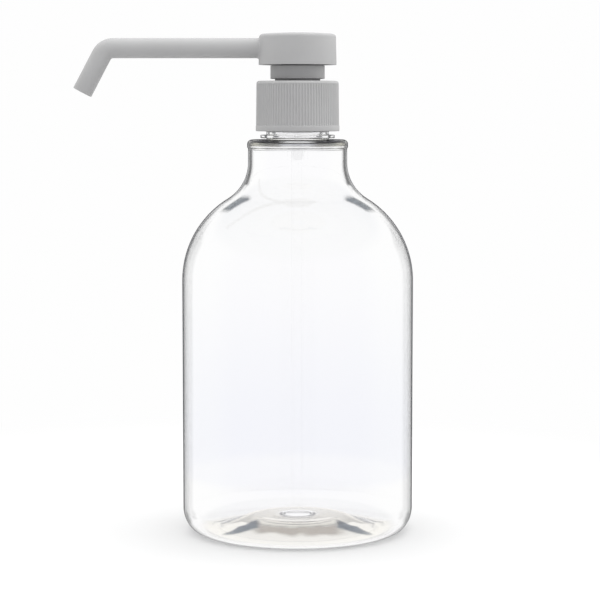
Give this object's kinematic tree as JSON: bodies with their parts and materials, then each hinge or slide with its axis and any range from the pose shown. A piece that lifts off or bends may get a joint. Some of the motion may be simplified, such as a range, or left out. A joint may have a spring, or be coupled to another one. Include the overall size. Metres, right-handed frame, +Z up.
{
  "type": "pump bottle",
  "caption": "Clear round bottle with a flared shoulder and beaded neck, a ribbed screw collar and a lock-down lotion pump with a long bent spout.",
  "frame": {"origin": "on the standing plane at the bottom centre of the bounding box, midway between the bottle's wall on +X and the spout's tip on -X; the common axis of bottle and pump stands at x = +0.0186 m, y = 0", "axes": "+Z up along the bottle, -X the way the spout points, Y across it"},
  "size_m": [0.1172, 0.08, 0.1728],
  "materials": {
    "clear_bottle": "clear moulded polyester, polished",
    "clear_pump": "water-clear moulded plastic",
    "grey_plastic": "neutral mid grey, satin moulded",
    "white_plastic": "natural white moulded",
    "gasket_foam": "soft foamed gasket",
    "spring_steel": "bright drawn steel"
  },
  "bodies": {
    "bottle": {"bottle": "clear_bottle"},
    "pump_body": {"pump_housing": "clear_pump", "turret": "grey_plastic", "neck_gasket": "gasket_foam", "ball_retainer": "white_plastic", "dip_tube": "clear_pump", "return_spring": "spring_steel"},
    "collar": {"collar": "grey_plastic"},
    "plunger": {"stem": "white_plastic", "piston": "white_plastic", "piston_rod": "white_plastic"},
    "head": {"pump_head": "grey_plastic"},
    "inlet_ball": {"inlet_ball": "spring_steel"},
    "outlet_ball": {"outlet_ball": "spring_steel"}
  },
  "joints": [
    {"name": "pump_lift_out", "type": "slide", "parent": "bottle", "child": "pump_body", "axis": [0, 0, 1], "range_m": [0, 0.155]},
    {"name": "collar_turn", "type": "hinge", "parent": "pump_body", "child": "collar", "pos_m": [0.01859, 0, 0.148], "axis": [0, 0, 1], "range_deg": [0, 540]},
    {"name": "pump_stroke", "type": "slide", "parent": "pump_body", "child": "plunger", "axis": [0, 0, 1], "range_m": [0, 0.0088], "deforming": ["return_spring"]},
    {"name": "head_turn", "type": "hinge", "parent": "plunger", "child": "head", "pos_m": [0.01859, 0, 0.1675], "axis": [0, 0, 1], "continuous": true},
    {"name": "inlet_ball_lift", "type": "slide", "parent": "pump_body", "child": "inlet_ball", "axis": [0, 0, 1], "range_m": [0, 0.0005]},
    {"name": "outlet_ball_lift", "type": "slide", "parent": "plunger", "child": "outlet_ball", "axis": [0, 0, 1], "range_m": [0, 0.0005]}
  ]
}
